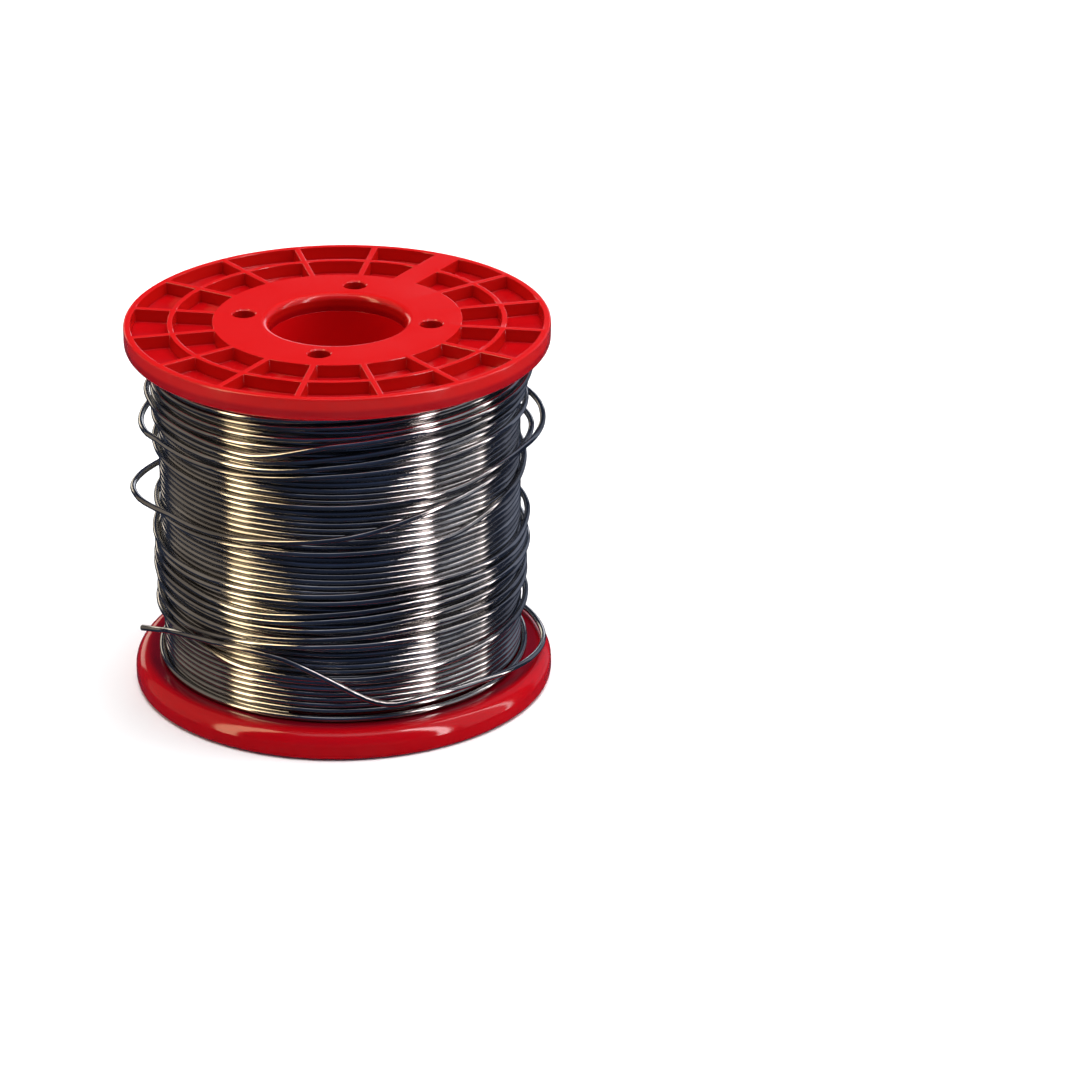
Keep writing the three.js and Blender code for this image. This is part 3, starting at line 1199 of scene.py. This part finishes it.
@dataclass
class UpperFlange:
    """The ribbed flange: a hub plate, a ring rib and radial ribs round shallow pockets.

    The ribs lie halfway between even directions. One of them is broader than the rest.
    """

    reel: Reel
    hub_plate: float = 20.5
    ring_rib: Pair = (26.95, 27.85)
    rim_inner: float = 33.85
    pocket_depth: float = 2.2
    pocket_draft: float = 0.14
    ribs: int = 16
    rib_width: float = 1.0
    rib_edge: float = 0.16
    rib_lines: int = 1
    wide_rib: int = 6
    wide_rib_width: float = 4.6
    wide_rib_lines: int = 2
    lip: float = 1.2
    edge: float = 0.35
    under_edge: float = 1.2
    round_steps: int = 6
    upright: float = 0.9
    sharp: float = 35.0
    below_pockets: float = 0.3
    drive_holes: int = 4
    drive_radius: float = 1.85
    drive_start: float = -11.25
    drive_chamfer: float = 0.22
    drive_steps: int = 40

    def build(self, material: bpy.types.Material) -> None:
        """Model the flange.

        Args:
            material: its plastic.
        """
        piece = lathe("upper_flange_moulding", self._outline(), self.reel.steps)
        self._square_ribs(piece)
        count = select_faces(piece, self._is_pocket)
        LOG.info("%d pocket faces", count)
        bpy.ops.mesh.inset(
            thickness=self.pocket_draft * MM,
            depth=-self.pocket_depth * MM,
            use_even_offset=True,
            use_individual=False,
        )
        bpy.ops.object.mode_set(mode="OBJECT")
        self._break_edges(piece)
        for i in range(self.drive_holes):
            direction = self.drive_start + 360 / self.drive_holes * i
            combine(piece, self._drive_cutter(direction), "DIFFERENCE")
        smooth(piece)
        finish_piece(piece, material, ("upper_flange",))

    def _outline(self) -> Outline:
        """Trace the flange's section, anticlockwise from the sleeve's seat.

        Returns:
            The section's corners.
        """
        reel = self.reel
        seat_top = reel.upper_inner + reel.seat
        low, high = reel.upper_inner, reel.height
        under, edge = self.under_edge, self.edge
        outline = [
            (reel.sleeve + reel.gap, low),
            (reel.barrel_bore - reel.gap, low),
            (reel.barrel_bore - reel.gap, seat_top),
            (reel.barrel + reel.gap, seat_top),
            (reel.barrel + reel.gap, low),
        ]
        outline += arc((reel.flange - under, low + under), under, -90, 0, self.round_steps)
        outline += arc((reel.flange - edge, high - edge), edge, 0, 90)
        outline += [(r, high) for r in (self.rim_inner, self.ring_rib[1], self.ring_rib[0], self.hub_plate)]
        outline += arc((reel.bore + self.lip, high - self.lip), self.lip, 90, 180, self.round_steps)
        outline += [(reel.bore, seat_top), (reel.sleeve + reel.gap, seat_top)]
        return outline

    def _half_rib(self, i: int) -> float:
        """Half the width of rib number i."""
        return (self.wide_rib_width if i % self.ribs == self.wide_rib else self.rib_width) / 2

    def _square_ribs(self, piece: bpy.types.Object) -> None:
        """Shift the spun lines beside each rib so that its sides are parallel.

        Args:
            piece: the spun flange.
        """
        pitch = 360 / self.ribs
        step = 360 / self.reel.steps
        for vertex in piece.data.vertices:
            radius = vertex.co.xy.length / MM
            on_top = vertex.co.z > (self.reel.height - TOUCH) * MM
            if not on_top or not self.hub_plate - TOUCH < radius < self.rim_inner + TOUCH:
                continue
            direction = direction_of(vertex.co)
            rib = round(direction / pitch - 0.5)
            centre = (rib + 0.5) * pitch
            lines = round((direction - centre) / step)
            beside = self.wide_rib_lines if rib % self.ribs == self.wide_rib else self.rib_lines
            if abs(lines) == beside:
                turn = math.degrees(math.asin(self._half_rib(rib) / radius))
                moved = polar(centre + math.copysign(turn, lines), radius)
                vertex.co.xy = moved.xy

    def _is_pocket(self, face: bpy.types.MeshPolygon) -> bool:
        """Say whether a face lies on the top between the ribs.

        Args:
            face: a face of the spun flange.

        Returns:
            True if a pocket is sunk there.
        """
        if face.normal.z < self.upright or face.center.z < (self.reel.height - TOUCH) * MM:
            return False
        radius = face.center.xy.length / MM
        inner = self.hub_plate < radius < self.ring_rib[0]
        outer = self.ring_rib[1] < radius < self.rim_inner
        if not (inner or outer):
            return False
        pitch = 360 / self.ribs
        direction = direction_of(face.center)
        rib = round(direction / pitch - 0.5)
        away = abs(direction - (rib + 0.5) * pitch)
        return radius * math.sin(math.radians(away)) > self._half_rib(rib)

    def _break_edges(self, piece: bpy.types.Object) -> None:
        """Round the sharp edges of the ribs and the pockets.

        Args:
            piece: the flange with its pockets.
        """
        activate(piece)
        bpy.ops.object.mode_set(mode="EDIT")
        bpy.ops.mesh.select_mode(type="EDGE")
        bpy.ops.mesh.select_all(action="DESELECT")
        bpy.ops.mesh.edges_select_sharp(sharpness=math.radians(self.sharp))
        bpy.ops.object.mode_set(mode="OBJECT")
        lowest = (self.reel.height - self.pocket_depth - self.below_pockets) * MM
        points = piece.data.vertices
        for edge in piece.data.edges:
            edge.select = edge.select and min(points[v].co.z for v in edge.vertices) > lowest
        bpy.ops.object.mode_set(mode="EDIT")
        bpy.ops.mesh.bevel(offset=self.rib_edge * MM, segments=2, affect="EDGES")
        bpy.ops.object.mode_set(mode="OBJECT")

    def _drive_cutter(self, direction: float) -> bpy.types.Object:
        """Make the tool that cuts one drive hole with a broken edge.

        Args:
            direction: where the hole is, in degrees from the front.

        Returns:
            The cutter.
        """
        reel = self.reel
        chamfer = self.drive_chamfer
        low = reel.upper_inner - reel.overcut
        outline = [
            (NEAR_AXIS, low),
            (self.drive_radius, low),
            (self.drive_radius, reel.height - chamfer),
            (self.drive_radius + chamfer, reel.height),
            (self.drive_radius + 2 * chamfer, reel.height + chamfer),
            (NEAR_AXIS, reel.height + chamfer),
        ]
        cutter = lathe("drive_cutter", outline, self.drive_steps)
        cutter.data.transform(Matrix.Translation(polar(direction, reel.drive_pitch)))
        return cutter


@dataclass
class LowerFlange:
    """The dished flange that the reel stands on, with two drive bosses and two snap windows outside."""

    reel: Reel
    dish: float = 31.2
    dish_depth: float = 2.4
    dish_round: float = 0.6
    bore_round: float = 0.5
    rest_inner: float = 32.3
    rest_round: float = 0.8
    foot_round: float = 1.1
    rim_round: float = 2.6
    rim_steps: int = 18
    boss_size: float = 7.0
    boss_height: float = 1.2
    boss_root: float = 0.8
    boss_edge: float = 0.3
    drive_radius: float = 1.7
    drive_steps: int = 32
    drive_angles: tuple[float, ...] = (90, 270)
    window_angles: tuple[float, ...] = (125, 235)
    window_width: float = 6.4
    window_edge: float = 0.15

    def build(self, material: bpy.types.Material) -> None:
        """Model the flange.

        Args:
            material: its plastic.
        """
        reel = self.reel
        piece = lathe("lower_flange_moulding", self._outline(), reel.steps)
        half = self.boss_size / 2
        for angle in self.drive_angles:
            low = (reel.drive_pitch - half, -half, self.dish_depth - self.boss_height)
            high = (reel.drive_pitch + half, half, self.dish_depth + self.boss_root)
            combine(piece, block("drive_boss", low, high, self.boss_edge, angle), "UNION")
            combine(piece, self._hole(angle), "DIFFERENCE")
        half = self.window_width / 2
        for angle in self.window_angles:
            low = (reel.barrel_bore - reel.gap, -half, self.dish_depth - reel.overcut)
            high = (reel.barrel + reel.gap, half, reel.lower_top - reel.seat + reel.overcut / 2)
            combine(piece, block("snap_window", low, high, self.window_edge, angle), "DIFFERENCE")
        smooth(piece)
        finish_piece(piece, material, ("lower_flange",))

    def _outline(self) -> Outline:
        """Trace the flange's section, anticlockwise from the bore's foot.

        Returns:
            The section's corners.
        """
        reel = self.reel
        top = reel.lower_top
        seat = top - reel.seat
        bore, dish, rest = self.bore_round, self.dish_round, self.rest_round
        foot, rim = self.foot_round, self.rim_round
        outline = arc((reel.bore + bore, self.dish_depth + bore), bore, 180, 270, 3)
        outline += arc((self.dish - dish, self.dish_depth - dish), dish, 90, 0)
        outline += arc((self.rest_inner, rest), rest, 180, 270)
        outline += arc((reel.flange - foot, foot), foot, -90, 0, 6)
        outline += arc((reel.flange - rim, top - rim), rim, 0, 90, self.rim_steps)
        outline += [
            (reel.barrel + reel.gap, top),
            (reel.barrel + reel.gap, seat),
            (reel.barrel_bore - reel.gap, seat),
            (reel.barrel_bore - reel.gap, top),
            (reel.sleeve + reel.gap, top),
            (reel.sleeve + reel.gap, seat),
            (reel.bore, seat),
        ]
        return outline

    def _hole(self, angle: float) -> bpy.types.Object:
        """Make the tool that cuts the hole of one drive boss.

        Args:
            angle: where the boss is, in degrees from the front.

        Returns:
            The cutter.
        """
        reel = self.reel
        low, high = -reel.overcut, reel.lower_top + reel.overcut
        outline = [
            (NEAR_AXIS, low),
            (self.drive_radius, low),
            (self.drive_radius, high),
            (NEAR_AXIS, high),
        ]
        cutter = lathe("boss_cutter", outline, self.drive_steps)
        cutter.data.transform(Matrix.Translation(polar(angle, reel.drive_pitch)))
        return cutter


@dataclass
class Core:
    """The barrel with its two snap hooks, and the sleeve with its webs."""

    reel: Reel
    webs: int = 8
    web_start: float = 11.25
    web_width: float = 1.2
    web_root: float = 0.4
    web_edge: float = 0.15
    barrel_edge: float = 0.2
    hook_angles: tuple[float, ...] = (125, 235)
    hook_width: float = 5.4
    stem_inset: float = 0.2
    stem_root: float = 2.0
    stem_edge: float = 0.1
    # The barb is a little narrower and shorter than the stem, so that no two of their faces lie in one plane.
    barb: Pair = (1.2, 2.1)
    barb_reach: float = 1.0
    barb_root: float = 0.9
    barb_inset: float = 0.15
    barb_lift: float = 0.08
    barb_edge: float = 0.12
    sleeve_joint: float = 0.02

    def build(self, material: bpy.types.Material) -> None:
        """Model both mouldings.

        Args:
            material: their plastic.
        """
        finish_piece(self._barrel(), material, ("winding_barrel",))
        finish_piece(self._sleeve(), material, ("bore_sleeve",))

    def _tube(self, name: str, inner: float, outer: float, high: float, edge: float) -> bpy.types.Object:
        """Make a tube that stands in the lower seat, with broken edges.

        Args:
            name: the new object's name.
            inner: its inner radius.
            outer: its outer radius.
            high: the height of its upper end.
            edge: the width of its broken edges.

        Returns:
            The tube.
        """
        low = self.reel.moulding_low
        outline = [(inner, low + edge), (inner + edge, low), (outer - edge, low), (outer, low + edge)]
        outline += [(outer, high - edge), (outer - edge, high), (inner + edge, high), (inner, high - edge)]
        return lathe(name, outline, self.reel.steps)

    def _barrel(self) -> bpy.types.Object:
        """Model the barrel and its hooks.

        Returns:
            The barrel.
        """
        reel = self.reel
        name, inner, outer = "winding_barrel_moulding", reel.barrel_bore, reel.barrel
        piece = self._tube(name, inner, outer, reel.moulding_high, self.barrel_edge)
        half = self.hook_width / 2
        inset = self.barb_inset
        for angle in self.hook_angles:
            low = (inner + self.stem_inset, -half, self.barb[0])
            high = (outer - self.stem_inset, half, reel.moulding_low + self.stem_root)
            combine(piece, block("hook_stem", low, high, self.stem_edge, angle), "UNION")
            low = (outer - self.barb_root, inset - half, self.barb[0] + self.barb_lift)
            high = (outer + self.barb_reach, half - inset, self.barb[1])
            combine(piece, block("hook_barb", low, high, self.barb_edge, angle), "UNION")
        smooth(piece)
        return piece

    def _sleeve(self) -> bpy.types.Object:
        """Model the sleeve and its webs.

        Returns:
            The sleeve.
        """
        reel = self.reel
        joint = self.sleeve_joint
        top = reel.upper_inner + reel.seat - joint
        piece = self._tube("bore_sleeve_moulding", reel.bore, reel.sleeve, top, joint)
        half = self.web_width / 2
        low = (reel.sleeve - self.web_root, -half, reel.lower_top + reel.gap)
        high = (reel.barrel_bore - reel.gap, half, reel.upper_inner - reel.gap)
        for i in range(self.webs):
            direction = self.web_start + 360 / self.webs * i
            combine(piece, block("sleeve_web", low, high, self.web_edge, direction), "UNION")
        smooth(piece)
        return piece


def main() -> None:
    """Build the camera, the wire, the reel and the studio."""
    logging.basicConfig(level=logging.INFO, format="%(name)s: %(message)s")
    StudioCamera().build()
    solder = DrawnSolder().material()
    wire = Wire()
    LooseWire(wire).build(solder)
    TightTurns(wire).build(solder)
    reel = Reel()
    # The upper flange's tops take the paler red and its pockets and lower side the darker one, as painted
    # light and painted shade, and its underside is painted darker next to the winding, as painted shade.
    UpperFlange(reel).build(
        MouldedPolystyrene(
            "polystyrene, moulded, bright red",
            colour="98030b",
            shade="a2040d",
            painted_lit_colour="bd110e",
            painted_lit_from_mm=reel.height - 2.35,
            painted_lit_to_mm=reel.height - 1.75,
            painted_shade_clear_mm=reel.upper_inner + 0.8,
            painted_shade_face_mm=reel.upper_inner + 0.1,
        ).material()
    )
    # The lower flange is the same red resin as the upper flange. Its copy of the red is set darker than the
    # upper flange's tops, as painted shade, with a slightly paler red above its lowest millimetre, as painted
    # light, and its top is painted darker beside the winding, as painted shade from the winding and the upper
    # flange.
    LowerFlange(reel).build(
        MouldedPolystyrene(
            "polystyrene, moulded, red darkened as painted shade",
            colour="b0030c",
            shade="a2020c",
            painted_lit_colour="b2040e",
            roughness=(0.09, 0.13),
            peel_depth_mm=0.005,
            painted_shade_clear_mm=reel.lower_top - 0.6,
            painted_shade_face_mm=reel.lower_top - 0.05,
        ).material()
    )
    # The barrel and the sleeve are the same red resin as the flanges. Their copy of the red is set lighter,
    # as painted light in the shaded bore.
    Core(reel).build(
        MouldedPolystyrene(
            "polystyrene, moulded, red lightened as painted light",
            colour="d80c12",
            shade="ce0a10",
            painted_lit_colour="d80c12",
        ).material()
    )
    Studio().build()


if __name__ == "__main__":
    main()
